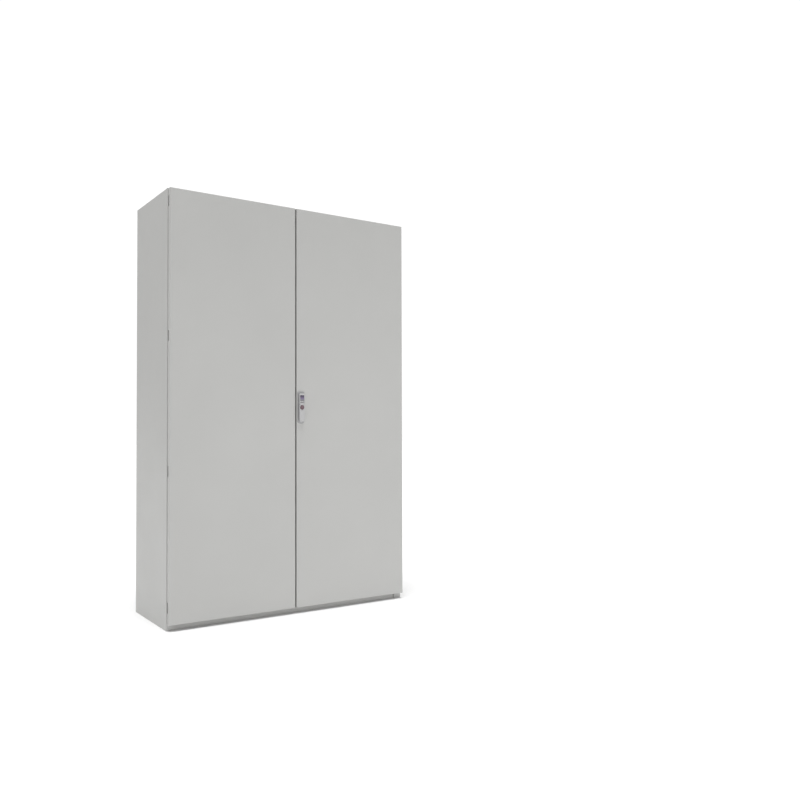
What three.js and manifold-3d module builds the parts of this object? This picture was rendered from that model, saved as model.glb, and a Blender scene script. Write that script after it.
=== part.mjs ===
// A free-standing industrial switchboard cabinet: folded sheet-steel body, two hinged doors with
// rod locks, a lift-and-turn handle, a galvanised mounting plate and gland plates in the floor.
// Millimetres, +Z up. The origin is on the floor in the middle of the footprint, the doors face -Y.
import * as THREE from "three";
import { mergeVertices } from "three/addons/utils/BufferGeometryUtils.js";
import Module from "manifold-3d";

const wasm = await Module();
wasm.setup();

// Driving dimensions
const WIDTH = 1200;
const HEIGHT = 1800;
const DEPTH = 400;
const SHEET = 2;
const GAP = 0.3; // between pieces that touch
const DOOR_DEPTH = 20;
const DOOR_BOTTOM = 26;
const DOOR_TOP = 1799;
const CENTRE_GAP = 7; // between the two doors
const GAP_SHIFT = 2.5; // the gap's middle lies this far to the left of the cabinet's
const DOOR_TO_BODY = 3; // air between a door's rim and the body
const DOOR_INSET = 3; // from a side wall's outer face to the door's edge
const HINGE_HEIGHTS = [94, 645, 1196, 1747];
const LOCK_HEIGHT = 962; // the spindles of both locks
const RIGHT_LOCK_X = 22; // from the middle of the cabinet to the handle's spindle
const LEFT_LOCK_X = 44;

// Places worked out from them
const SIDE = WIDTH / 2;
const FRONT = -DEPTH / 2;
const BACK = DEPTH / 2;
const DOOR_INNER = FRONT + SHEET;
const DOOR_RIM = FRONT + DOOR_DEPTH;
const DOOR_SIDE = SIDE - DOOR_INSET;
const RIGHT_FREE_EDGE = CENTRE_GAP / 2 - GAP_SHIFT; // measured outwards from the middle
const LEFT_FREE_EDGE = CENTRE_GAP / 2 + GAP_SHIFT;
const BODY_FRONT = DOOR_RIM + DOOR_TO_BODY;
const BODY_BACK = BACK - 4; // the rear panel and its gasket stand on this plane
const LIP_FRONT = BODY_FRONT - 13; // the sealing lip stands forward into the door's gasket
const LIP_X = SIDE - 41; // middle of the side lips
const LIP_TOP = 1750;
const LIP_BOTTOM = 52;
const REAR_RETURN = 35;
const FIXING_RADIUS = 7; // holes for floor anchors and lifting eyes
const LIFTING_HOLES_Y = [-130, 150];
const BASE_HEIGHT = LIP_BOTTOM + SHEET / 2;
const GLAND_PLATE_X = SIDE - 50;
const HINGE_X = DOOR_SIDE - 7;
const HINGE_Y = FRONT + 10;

// Colours of the real finishes
const LIGHT_GREY = new THREE.MeshStandardMaterial({ color: 0xc9cac7, roughness: 0.55, metalness: 0 });
const ZINC = new THREE.MeshStandardMaterial({ color: 0xb4b8bb, roughness: 0.4, metalness: 0.9 });
const GASKET = new THREE.MeshStandardMaterial({ color: 0x2b2c2e, roughness: 0.9, metalness: 0 });
const BASE_GREY = new THREE.MeshStandardMaterial({ color: 0x7c7c7e, roughness: 0.5, metalness: 0 });
const HANDLE_GREY = new THREE.MeshStandardMaterial({ color: 0xc4c4c6, roughness: 0.45, metalness: 0 });
const LABEL_BLUE = new THREE.MeshStandardMaterial({ color: 0x4d4a86, roughness: 0.4, metalness: 0 });
const LOCK_RED = new THREE.MeshStandardMaterial({ color: 0x8c3338, roughness: 0.4, metalness: 0 });

// ---------------------------------------------------------------- solids

// A three.js geometry as a manifold solid.
function solid(geometry) {
  const bare = geometry.index ? geometry.toNonIndexed() : geometry.clone();
  bare.deleteAttribute("normal");
  bare.deleteAttribute("uv");
  const merged = mergeVertices(bare, 1e-4);
  const vertProperties = merged.attributes.position.array;
  const triVerts = new Uint32Array(merged.index.array);
  return new wasm.Manifold(new wasm.Mesh({ numProp: 3, vertProperties, triVerts }));
}

const joined = (...parts) => parts.reduce((whole, part) => whole.add(part));
const cut = (body, ...tools) => tools.reduce((rest, tool) => rest.subtract(tool), body);

// A box from its low and high values along each axis.
function block([x0, x1], [y0, y1], [z0, z1]) {
  const geometry = new THREE.BoxGeometry(x1 - x0, y1 - y0, z1 - z0);
  return solid(geometry.translate((x0 + x1) / 2, (y0 + y1) / 2, (z0 + z1) / 2));
}

// A round bar along "x", "y" or "z", whose centre line passes through the other two coordinates.
function roundBar(axis, [a, b], radius, [from, to], sides = 16) {
  const geometry = new THREE.CylinderGeometry(radius, radius, to - from, sides);
  const middle = (from + to) / 2;
  if (axis === "x") geometry.rotateZ(Math.PI / 2).translate(middle, a, b);
  if (axis === "y") geometry.translate(a, middle, b);
  if (axis === "z") geometry.rotateX(Math.PI / 2).translate(a, b, middle);
  return solid(geometry);
}

// A plan outline, extruded upwards.
function upright(points, [z0, z1]) {
  const outline = new THREE.Shape(points.map(([x, y]) => new THREE.Vector2(x, y)));
  const settings = { depth: z1 - z0, bevelEnabled: false };
  return solid(new THREE.ExtrudeGeometry(outline, settings).translate(0, 0, z0));
}

// A rectangle in X and Z with round corners, extruded from y0 to y1.
function roundedPlate([x0, x1], [z0, z1], [y0, y1], topRadius, bottomRadius, segments = 4) {
  const outline = new THREE.Shape();
  outline.absarc(x0 + bottomRadius, z0 + bottomRadius, bottomRadius, Math.PI, 1.5 * Math.PI);
  outline.absarc(x1 - bottomRadius, z0 + bottomRadius, bottomRadius, 1.5 * Math.PI, 2 * Math.PI);
  outline.absarc(x1 - topRadius, z1 - topRadius, topRadius, 0, 0.5 * Math.PI);
  outline.absarc(x0 + topRadius, z1 - topRadius, topRadius, 0.5 * Math.PI, Math.PI);
  const settings = { depth: y1 - y0, bevelEnabled: false, curveSegments: segments };
  return solid(new THREE.ExtrudeGeometry(outline, settings).rotateX(Math.PI / 2).translate(0, y1, 0));
}

// A rectangular ring in X and Z, from its outer and inner edges.
function ring(outerX, outerZ, innerX, innerZ, y) {
  const through = [y[0] - 1, y[1] + 1];
  return cut(block(outerX, y, outerZ), block(innerX, through, innerZ));
}

function mesh(name, body, material) {
  const made = body.getMesh();
  const geometry = new THREE.BufferGeometry();
  geometry.setAttribute("position", new THREE.BufferAttribute(new Float32Array(made.vertProperties), 3));
  geometry.setIndex(new THREE.BufferAttribute(new Uint32Array(made.triVerts), 1));
  geometry.computeVertexNormals();
  const part = new THREE.Mesh(geometry, material);
  part.name = name;
  return part;
}

// ---------------------------------------------------------------- body

// The right-hand wall: sheet with a front return, a forward sealing lip and a rear return.
function sideWall() {
  const lipEdge = LIP_X - SHEET / 2;
  const folded = upright(
    [
      [lipEdge, BODY_FRONT],
      [SIDE, BODY_FRONT],
      [SIDE, BODY_BACK],
      [SIDE - REAR_RETURN, BODY_BACK],
      [SIDE - REAR_RETURN, BODY_BACK - SHEET],
      [SIDE - SHEET, BODY_BACK - SHEET],
      [SIDE - SHEET, BODY_FRONT + SHEET],
      [lipEdge, BODY_FRONT + SHEET],
    ],
    [0, HEIGHT - SHEET - GAP],
  );
  const lipZ = [LIP_BOTTOM + SHEET / 2 + GAP, LIP_TOP - SHEET / 2 - GAP];
  return joined(folded, block([lipEdge, lipEdge + SHEET], [LIP_FRONT, BODY_FRONT + SHEET / 2], lipZ));
}

function roof() {
  const between = LIP_X - SHEET / 2 - GAP;
  const rearBetween = SIDE - REAR_RETURN - GAP;
  const lip = [LIP_TOP - SHEET / 2, LIP_TOP + SHEET / 2];
  const under = HEIGHT - SHEET;
  const through = [under - 1, HEIGHT + 1];
  const liftingHoles = [-1, 1].flatMap((sx) =>
    LIFTING_HOLES_Y.map((y) => roundBar("z", [sx * (SIDE - 45), y], FIXING_RADIUS, through, 12)),
  );
  return cut(
    joined(
      block([-SIDE, SIDE], [BODY_FRONT, BODY_BACK], [under, HEIGHT]),
      block([-between, between], [BODY_FRONT, BODY_FRONT + SHEET], [lip[0], HEIGHT]),
      block([-between, between], [LIP_FRONT, BODY_FRONT + SHEET], lip),
      block([-LIP_X - 1, LIP_X + 1], [LIP_FRONT, BODY_FRONT - GAP], lip),
      block([-rearBetween, rearBetween], [BODY_BACK - SHEET, BODY_BACK], [HEIGHT - REAR_RETURN, HEIGHT]),
    ),
    ...liftingHoles,
  );
}

// The floor frame: a ring of channel, set back a little from the walls' front returns.
function baseFrame() {
  const web = SIDE - SHEET - GAP;
  const front = BODY_FRONT + SHEET + 2;
  const rear = BODY_BACK - SHEET - GAP;
  const rearBetween = SIDE - REAR_RETURN - GAP;
  const between = LIP_X - SHEET / 2 - GAP;
  const top = [BASE_HEIGHT - SHEET, BASE_HEIGHT];
  const footWidth = 60;
  const anchorInset = footWidth / 2;
  const shelfWidth = 30;
  const shelfUnderPlate = 20; // how far the gland plates' ends rest on the shelf
  const tall = [-1, BASE_HEIGHT + 1];
  const shell = block([-web, web], [front, rear], [0, BASE_HEIGHT]);
  const hollow = block([-web + SHEET, web - SHEET], [front + SHEET, rear + 1], [SHEET, top[0]]);
  const rearWeb = block([-rearBetween, rearBetween], [rear - SHEET, BODY_BACK], [0, BASE_HEIGHT]);
  const footHole = block(
    [-web + footWidth, web - footWidth],
    [front + footWidth, rear - footWidth],
    [-1, SHEET + 1],
  );
  const shelfHole = block(
    [-GLAND_PLATE_X + shelfUnderPlate, GLAND_PLATE_X - shelfUnderPlate],
    [front + shelfWidth, rear - shelfWidth],
    [top[0] - 1, top[1] + 1],
  );
  const anchorHoles = [-1, 1].flatMap((sx) =>
    [front + anchorInset, rear - anchorInset].map((y) =>
      roundBar("z", [sx * (web - anchorInset), y], FIXING_RADIUS, tall, 12),
    ),
  );
  const rearRecess = block(
    [-rearBetween + SHEET, rearBetween - SHEET],
    [rear - SHEET - 1, BODY_BACK - SHEET],
    [SHEET, top[0]],
  );
  return joined(
    cut(joined(cut(shell, hollow), rearWeb), footHole, shelfHole, rearRecess, ...anchorHoles),
    block([-between, between], [LIP_FRONT, front + SHEET], top),
    block([-LIP_X - 1, LIP_X + 1], [LIP_FRONT, BODY_FRONT - GAP], top),
  );
}

function rearPanel() {
  const edge = SIDE - 10;
  const ribEnd = edge - 50;
  const ribHalf = 20;
  const ribSheet = 1.5;
  const plate = block([-edge, edge], [BACK - SHEET, BACK], [14, HEIGHT - 10]);
  const ribs = [500, 900, 1300].map((z) =>
    cut(
      block([-ribEnd, ribEnd], [BACK - 14, BACK - SHEET + 0.5], [z - ribHalf, z + ribHalf]),
      block(
        [-ribEnd - 1, ribEnd + 1],
        [BACK - 14 + ribSheet, BACK - SHEET - ribSheet],
        [z - ribHalf + SHEET, z + ribHalf - SHEET],
      ),
    ),
  );
  return joined(plate, ...ribs);
}

function rearGasket() {
  const outer = SIDE - 14;
  const inner = outer - 12;
  const z = [20, HEIGHT - 16];
  const y = [BODY_BACK + GAP, BACK - SHEET - GAP];
  return ring([-outer, outer], z, [-inner, inner], [z[0] + 12, z[1] - 12], y);
}

// One of three loose floor plates that cable glands are cut into.
function glandPlate(index) {
  const count = 3;
  const from = BODY_FRONT + 17;
  const to = BODY_BACK - 16;
  const pitch = (to - from) / count;
  const y = [from + index * pitch, from + (index + 1) * pitch - 0.6];
  return block([-GLAND_PLATE_X, GLAND_PLATE_X], y, [BASE_HEIGHT + GAP, BASE_HEIGHT + GAP + 1.5]);
}

const PLATE_X = 549.5;
const PLATE_Y = 140;
const PLATE_BOTTOM = 67.3;
const PLATE_TOP = 1749;
const PLATE_FOLD = 18;

// Steel plate that the switchgear is screwed to, with its long edges folded back.
function mountingPlate() {
  const z = [PLATE_BOTTOM, PLATE_TOP];
  const thick = 3;
  return joined(
    block([-PLATE_X, PLATE_X], [PLATE_Y, PLATE_Y + thick], z),
    block([-PLATE_X, -PLATE_X + thick], [PLATE_Y, PLATE_Y + PLATE_FOLD], z),
    block([PLATE_X - thick, PLATE_X], [PLATE_Y, PLATE_Y + PLATE_FOLD], z),
  );
}

// The rail the plate stands on and slides in along, right-hand side.
function slideRail() {
  const y = [-130, 180];
  const low = BASE_HEIGHT + GAP;
  const shelf = PLATE_BOTTOM - GAP; // the plate's lower edge stands on it
  const riser = SIDE - 44;
  return joined(
    block([riser, SIDE - 6], y, [low, low + SHEET]),
    block([riser, riser + SHEET], y, [low, shelf]),
    block([riser - 26, riser + SHEET], y, [shelf - SHEET, shelf]),
  );
}

// The bracket that holds the plate's top corner to the wall, right-hand side.
function plateBracket() {
  const wall = SIDE - SHEET - GAP;
  const edge = PLATE_X + GAP;
  const arm = PLATE_Y + 8;
  const z = [1690, 1730];
  return joined(
    block([wall - SHEET, wall], [arm - 18, arm + 17], z),
    block([edge, wall], [arm, arm + SHEET], z),
    block([edge, edge + SHEET], [arm - 6, arm + 9], z),
  );
}

const SIDE_RAIL_Z = [BASE_HEIGHT + 3, 1740];

// Vertical Z-section that side-mounted gear hangs on, right-hand side.
function sideRail(y, z) {
  const wall = SIDE - SHEET - GAP;
  const inner = SIDE - 25;
  return joined(
    block([wall - SHEET, wall], [y - 22, y], z),
    block([inner, wall], [y - SHEET, y], z),
    block([inner, inner + SHEET], [y - SHEET, y + 22], z),
  );
}

// ---------------------------------------------------------------- hinges, right-hand side
// u runs inwards from the hinge axis and v towards the back of the cabinet.

const hingeBlock = ([u0, u1], [v0, v1], z) =>
  block([HINGE_X - u1, HINGE_X - u0], [HINGE_Y + v0, HINGE_Y + v1], z);
const hingeBar = (radius, z) => roundBar("z", [HINGE_X, HINGE_Y], radius, z);

const KNUCKLE_RADIUS = 4.6;
const PIN_RADIUS = 2.5;
const BRACKET_HALF = 20;
const LEAF_HALF = 32;

// Goose-neck bracket on the body: it reaches round the door's rim, so the door can open 130 degrees.
function hingeBracket(height) {
  const z = [height - BRACKET_HALF, height + BRACKET_HALF];
  const footFace = BODY_FRONT - HINGE_Y - GAP;
  const body = joined(
    hingeBar(KNUCKLE_RADIUS, z),
    hingeBlock([0, 18], [-2, 2], z),
    hingeBlock([14, 18], [-2, footFace], z),
    hingeBlock([14, 29], [footFace - 3.7, footFace], z),
  );
  return cut(body, hingeBar(PIN_RADIUS + 0.5, [z[0] - 1, z[1] + 1]));
}

// Leaf on the door, with a knuckle above and below the bracket and the pin pressed into them.
function hingeLeaf(height) {
  const inner = DOOR_INNER - HINGE_Y + GAP;
  const knuckles = [
    [height - LEAF_HALF, height - BRACKET_HALF - 0.4],
    [height + BRACKET_HALF + 0.4, height + LEAF_HALF],
  ];
  return joined(
    hingeBlock([-4.6, 20], [inner, inner + 2.2], [height - LEAF_HALF, height + LEAF_HALF]),
    hingeBar(PIN_RADIUS, [height - LEAF_HALF, height + LEAF_HALF]),
    ...knuckles.flatMap((z) => [
      hingeBar(KNUCKLE_RADIUS, z),
      hingeBlock([-KNUCKLE_RADIUS, KNUCKLE_RADIUS], [inner, 0], z),
    ]),
  );
}

// ---------------------------------------------------------------- doors, right-hand side

const LIP_NOTCH_HALF = 6;

// Sheet pan with a rim all round: notched for the hinges and, in the free edge, for the body's lips.
function doorPanel(freeEdge, ...holes) {
  const pan = cut(
    block([freeEdge, DOOR_SIDE], [FRONT, DOOR_RIM], [DOOR_BOTTOM, DOOR_TOP]),
    block(
      [freeEdge + SHEET, DOOR_SIDE - SHEET],
      [DOOR_INNER, DOOR_RIM + 1],
      [DOOR_BOTTOM + SHEET, DOOR_TOP - SHEET],
    ),
  );
  const notches = HINGE_HEIGHTS.map((height) =>
    hingeBlock([-8, -4], [1.5, DOOR_DEPTH], [height - BRACKET_HALF - 2, height + BRACKET_HALF + 2]),
  );
  const lipNotches = [LIP_BOTTOM, LIP_TOP].map((z) =>
    block(
      [freeEdge - 1, freeEdge + SHEET + 1],
      [LIP_FRONT - 3, DOOR_RIM + 1],
      [z - LIP_NOTCH_HALF, z + LIP_NOTCH_HALF],
    ),
  );
  return cut(pan, ...notches, ...lipNotches, ...holes);
}

const GASKET_HALF = 5;

function doorGasket(freeEdge) {
  const outer = LIP_X + GASKET_HALF;
  const z = [LIP_BOTTOM - GASKET_HALF, LIP_TOP + GASKET_HALF];
  const width = 2 * GASKET_HALF;
  return ring(
    [freeEdge + SHEET + 0.5, outer],
    z,
    [freeEdge + SHEET + 7.5, outer - width],
    [z[0] + width, z[1] - width],
    [DOOR_INNER + GAP, LIP_FRONT - 0.5],
  );
}

const FRAME_WIDTH = 25;
const FRAME_Z = [LIP_BOTTOM + 15, LIP_TOP - 15];
const ROD_Y = [-187, -181.4];
const GUIDE_HEIGHTS = { upper: [1180, 1660], lower: [260, 620] };

// A fork on the stiffening frame that a lock rod runs in.
function rodGuide(rodX, frameX, height) {
  const z = [height - 8, height + 8];
  const prong = [rodX - 2.6, frameX + 1];
  return joined(
    block(prong, [ROD_Y[1] + 0.5, ROD_Y[1] + 2.5], z),
    block(prong, [ROD_Y[0] - 2.5, ROD_Y[0] - 0.5], z),
    block([rodX + 2.7, frameX + 1], [ROD_Y[0] - 2.5, ROD_Y[1] + 2.5], z),
  );
}

// Ring of channel, open towards the door's sheet, that stiffens the door and carries the rods.
function doorFrame(lockX) {
  const x = [lockX + 24, 548];
  const y = [DOOR_INNER + GAP, DOOR_RIM];
  const inside = ([a, b], by) => [a + by, b - by];
  const channel = cut(
    ring(x, FRAME_Z, inside(x, FRAME_WIDTH), inside(FRAME_Z, FRAME_WIDTH), y),
    ring(
      inside(x, SHEET),
      inside(FRAME_Z, SHEET),
      inside(x, FRAME_WIDTH - SHEET),
      inside(FRAME_Z, FRAME_WIDTH - SHEET),
      [y[0] - 1, y[1] - SHEET],
    ),
  );
  const guides = [
    ...GUIDE_HEIGHTS.upper.map((height) => rodGuide(upperRodX(lockX), x[0], height)),
    ...GUIDE_HEIGHTS.lower.map((height) => rodGuide(lowerRodX(lockX), x[0], height)),
  ];
  return joined(channel, ...guides);
}

// ---------------------------------------------------------------- rod lock

const PITCH_RADIUS = 10;
const LOBES = 10;
const LOBE_RADIUS = 1.5;
const RACK_PITCH = (2 * Math.PI * PITCH_RADIUS) / LOBES;
const ROD_HALF = 2; // half a rod's width in x
const ROD_OFFSET = PITCH_RADIUS + 2.5 + ROD_HALF; // from the spindle to a rod's middle
const KEEPER_HEIGHT = 14.7;
const ROD_TIPS = { top: LIP_TOP - 19, bottom: LIP_BOTTOM + 19 };
const upperRodX = (lockX) => lockX - ROD_OFFSET;
const lowerRodX = (lockX) => lockX + ROD_OFFSET;

const SPINDLE_HALF = 3.5;
const SPINDLE_Z = [LOCK_HEIGHT - SPINDLE_HALF, LOCK_HEIGHT + SPINDLE_HALF];

// Pin-tooth pinion with a square bore for the spindle.
function pinion(lockX) {
  const thick = ROD_Y[1] - ROD_Y[0];
  const bore = SPINDLE_HALF + 0.35;
  const lobe = (k) => {
    const angle = (k * 2 * Math.PI) / LOBES;
    const bar = new THREE.CylinderGeometry(LOBE_RADIUS, LOBE_RADIUS, thick, 8);
    const neck = new THREE.BoxGeometry(4, thick, 2 * LOBE_RADIUS - 0.2);
    const turned = (geometry, radius) => solid(geometry.translate(radius, 0, 0).rotateY(angle));
    return joined(turned(bar, PITCH_RADIUS), turned(neck, PITCH_RADIUS - 2));
  };
  const core = solid(new THREE.CylinderGeometry(8.6, 8.6, thick, 20));
  const wheel = joined(core, ...Array.from({ length: LOBES }, (_, k) => lobe(k)));
  return cut(
    wheel.translate([lockX, ROD_Y[0] + thick / 2, LOCK_HEIGHT]),
    block([lockX - bore, lockX + bore], [ROD_Y[0] - 1, ROD_Y[1] + 1], [LOCK_HEIGHT - bore, LOCK_HEIGHT + bore]),
  );
}

// One lock rod with its rack. facing is +1 where the teeth point to +X.
function lockRod(rodX, facing, z, rack) {
  const root = rodX + facing * ROD_HALF;
  const tip = root + facing * 3.6;
  const settings = { depth: ROD_Y[1] - ROD_Y[0], bevelEnabled: false };
  const teeth = [];
  for (let k = -8; k < 8; k += 1) {
    const middle = LOCK_HEIGHT + (k + 0.5) * RACK_PITCH;
    if (middle < rack[0] || middle > rack[1]) continue;
    const outline = new THREE.Shape([
      new THREE.Vector2(root - facing, middle - 1.5),
      new THREE.Vector2(root - facing, middle + 1.5),
      new THREE.Vector2(tip, middle + 0.8),
      new THREE.Vector2(tip, middle - 0.8),
    ]);
    const tooth = new THREE.ExtrudeGeometry(outline, settings).rotateX(Math.PI / 2);
    teeth.push(solid(tooth.translate(0, ROD_Y[1], 0)));
  }
  return joined(block([rodX - ROD_HALF, rodX + ROD_HALF], ROD_Y, z), ...teeth);
}

const upperRod = (lockX) =>
  lockRod(upperRodX(lockX), 1, [LOCK_HEIGHT - 14, ROD_TIPS.top], [LOCK_HEIGHT - 10, LOCK_HEIGHT + 26]);
const lowerRod = (lockX) =>
  lockRod(lowerRodX(lockX), -1, [ROD_TIPS.bottom, LOCK_HEIGHT + 14], [LOCK_HEIGHT - 26, LOCK_HEIGHT + 10]);

// Channel-shaped case over the pinion and racks, on two feet that stand on the door's sheet.
function lockCase(lockX) {
  const z = [LOCK_HEIGHT - 28, LOCK_HEIGHT + 28];
  const y = [-190.1, -178.4];
  const wall = [lockX + 17, lockX + 19];
  const plateX = [lockX - 17.3, wall[1]];
  const foot = (height) =>
    block([lockX - 7, lockX + 7], [DOOR_INNER + GAP, y[0] + 0.5], [height - 4, height + 4]);
  const shell = joined(
    block(plateX, [y[0], y[0] + 2], z),
    block(plateX, [y[1] - 2, y[1]], z),
    block(wall, y, z),
    foot(LOCK_HEIGHT - 22),
    foot(LOCK_HEIGHT + 22),
  );
  return cut(shell, roundBar("y", [lockX, LOCK_HEIGHT], 5.5, [y[0] - 1, y[1] + 1]));
}

// U-shaped keeper under the top lip (or on the bottom lip) that a rod's tip runs up to.
function keeper(rodX, [z0, z1], plateAtTop) {
  const x = [rodX - 2.6, rodX + 5];
  const plate = plateAtTop ? [z1 - 2, z1] : [z0, z0 + 2];
  return joined(
    block(x, [-189.6, -176.4], plate),
    block(x, [-189.6, -188], [z0, z1]),
    block(x, [-178, -176.4], [z0, z1]),
  );
}

const keeperTop = LIP_TOP - SHEET / 2 - GAP;
const keeperBottom = BASE_HEIGHT + GAP;
const topKeeper = (lockX) => keeper(upperRodX(lockX), [keeperTop - KEEPER_HEIGHT, keeperTop], true);
const bottomKeeper = (lockX) =>
  keeper(lowerRodX(lockX), [keeperBottom, keeperBottom + KEEPER_HEIGHT], false);

// Folded strip on the left door that closes the gap between the doors, drawn right-handed.
function centreStrip() {
  const z = [LIP_BOTTOM + 10, LIP_TOP - 10];
  const thick = 1.5;
  const web = [DOOR_RIM + GAP, DOOR_RIM + GAP + thick];
  const nose = LEFT_FREE_EDGE - (CENTRE_GAP + thick) / 2; // in the middle of the gap
  const leg = LEFT_FREE_EDGE + 12;
  return joined(
    block([nose, leg], web, z),
    block([nose, nose + thick], [FRONT + 12, web[1]], z),
    block([leg - thick, leg], [DOOR_INNER + GAP, web[1]], z),
    block([leg - thick, leg + 10], [DOOR_INNER + GAP, DOOR_INNER + GAP + thick], z),
  );
}

// ---------------------------------------------------------------- handles

const HANDLE_X = [RIGHT_LOCK_X - 14, RIGHT_LOCK_X + 14];
const HANDLE_Z = [849, 974];
const HANDLE_FRONT = FRONT - 13;
const HANDLE_BACK = FRONT - 4;
const GRIP_PIN = { y: (HANDLE_FRONT + HANDLE_BACK) / 2, z: 930 };
const EAR = 4;
const BUTTON_Z = 912;

const BEZEL_X = [HANDLE_X[0] - 2.5, HANDLE_X[1] + 2.5];
const BEZEL_Z = [HANDLE_Z[0] - 9, HANDLE_Z[1] + 9];

const bezelHole = () => roundBar("y", [RIGHT_LOCK_X, LOCK_HEIGHT], 5.5, [FRONT - 10, DOOR_INNER + 1]);

function bezel() {
  return cut(roundedPlate(BEZEL_X, BEZEL_Z, [FRONT - 3.3, FRONT - GAP], 8, 11), bezelHole());
}

// The square spindle that carries a pinion.
const spindle = (lockX, y) => block([lockX - SPINDLE_HALF, lockX + SPINDLE_HALF], y, SPINDLE_Z);

const labelPocket = (inset, y) =>
  block([RIGHT_LOCK_X - 10.5 + inset, RIGHT_LOCK_X + 10.5 - inset], y, [939 + inset, 966 - inset]);

// Turning head: carries the spindle, a label pocket and the two ears that hold the grip's pin.
function handleHead() {
  const y = [HANDLE_FRONT, HANDLE_BACK];
  const body = roundedPlate(HANDLE_X, [GRIP_PIN.z + 5.2, HANDLE_Z[1]], y, 7, 0.5);
  const radius = (y[1] - y[0]) / 2;
  const ears = [
    [HANDLE_X[0], HANDLE_X[0] + EAR],
    [HANDLE_X[1] - EAR, HANDLE_X[1]],
  ].flatMap((x) => [
    roundBar("x", [GRIP_PIN.y, GRIP_PIN.z], radius, x),
    block(x, y, [GRIP_PIN.z, GRIP_PIN.z + 6]),
  ]);
  return cut(
    joined(body, ...ears, spindle(RIGHT_LOCK_X, [HANDLE_BACK - 1, ROD_Y[1] + 1.5])),
    labelPocket(0, [HANDLE_FRONT - 1, HANDLE_FRONT + 1]),
    roundBar("x", [GRIP_PIN.y, GRIP_PIN.z], 2.4, [HANDLE_X[0] - 1, HANDLE_X[1] + 1], 12),
  );
}

// Grip that lifts out on the pin; it is hollow behind its lower end for the fingertips.
function handleGrip() {
  const y = [HANDLE_FRONT, HANDLE_BACK];
  const tongue = [HANDLE_X[0] + EAR + 0.4, HANDLE_X[1] - EAR - 0.4];
  const radius = (y[1] - y[0]) / 2;
  const shoulder = GRIP_PIN.z - 5;
  return cut(
    joined(
      roundedPlate(HANDLE_X, [HANDLE_Z[0], shoulder], y, 0.5, 9),
      block(tongue, y, [shoulder - 1, GRIP_PIN.z]),
      roundBar("x", [GRIP_PIN.y, GRIP_PIN.z], radius, tongue),
    ),
    roundBar("x", [GRIP_PIN.y, GRIP_PIN.z], 2.4, [tongue[0] - 1, tongue[1] + 1], 12),
    roundBar("y", [RIGHT_LOCK_X, BUTTON_Z], 10.3, [HANDLE_FRONT - 1, HANDLE_BACK - 0.8], 24),
    block([HANDLE_X[0] + 4, HANDLE_X[1] - 4], [HANDLE_FRONT + 4, HANDLE_BACK + 1], [HANDLE_Z[0] + 4, 894]),
  );
}

const gripPin = () => roundBar("x", [GRIP_PIN.y, GRIP_PIN.z], 2, [HANDLE_X[0] + 0.2, HANDLE_X[1] - 0.2], 12);
const lockButton = () =>
  roundBar("y", [RIGHT_LOCK_X, BUTTON_Z], 9.8, [HANDLE_FRONT - 1, HANDLE_FRONT + 5], 24);

// Lever inside the left door, on its own spindle.
function insideLever() {
  const x = [LEFT_LOCK_X - 8, LEFT_LOCK_X + 8];
  const y = [-176, -169];
  const arm = roundedPlate(x, [LOCK_HEIGHT - 100, LOCK_HEIGHT + 9], y, 7.5, 7.5);
  return joined(arm, spindle(LEFT_LOCK_X, [ROD_Y[0] - 1, y[0] + 1]));
}

// ---------------------------------------------------------------- assembly

const cabinet = new THREE.Group();
const right = new THREE.Group();
const left = new THREE.Group(); // drawn right-handed and mirrored
left.scale.x = -1;
cabinet.add(right, left);

cabinet.add(
  mesh("roof", roof(), LIGHT_GREY),
  mesh("base_frame", baseFrame(), LIGHT_GREY),
  mesh("rear_panel", rearPanel(), LIGHT_GREY),
  mesh("rear_gasket", rearGasket(), GASKET),
  mesh("mounting_plate", mountingPlate(), ZINC),
);
["front", "middle", "rear"].forEach((place, index) => {
  cabinet.add(mesh(`gland_plate_${place}`, glandPlate(index), ZINC));
});

for (const [name, group, lockX, freeEdge] of [
  ["left", left, LEFT_LOCK_X, LEFT_FREE_EDGE],
  ["right", right, RIGHT_LOCK_X, RIGHT_FREE_EDGE],
]) {
  const holes = group === right ? [bezelHole()] : [];
  group.add(
    mesh(`${name}_side_wall`, sideWall(), LIGHT_GREY),
    mesh(`${name}_slide_rail`, slideRail(), ZINC),
    mesh(`${name}_plate_bracket`, plateBracket(), ZINC),
    mesh(`${name}_front_rail`, sideRail(-147, SIDE_RAIL_Z), ZINC),
    mesh(`${name}_rear_rail`, sideRail(95, SIDE_RAIL_Z), ZINC),
    mesh(`${name}_top_keeper`, topKeeper(lockX), ZINC),
    mesh(`${name}_bottom_keeper`, bottomKeeper(lockX), ZINC),
    mesh(`${name}_door_panel`, doorPanel(freeEdge, ...holes), LIGHT_GREY),
    mesh(`${name}_door_frame`, doorFrame(lockX), ZINC),
    mesh(`${name}_door_gasket`, doorGasket(freeEdge), GASKET),
    mesh(`${name}_lock_case`, lockCase(lockX), ZINC),
    mesh(`${name}_pinion`, pinion(lockX), ZINC),
    mesh(`${name}_upper_rod`, upperRod(lockX), ZINC),
    mesh(`${name}_lower_rod`, lowerRod(lockX), ZINC),
  );
  HINGE_HEIGHTS.forEach((height, index) => {
    group.add(
      mesh(`${name}_hinge_bracket_${index + 1}`, hingeBracket(height), ZINC),
      mesh(`${name}_hinge_leaf_${index + 1}`, hingeLeaf(height), ZINC),
    );
  });
}

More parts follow.
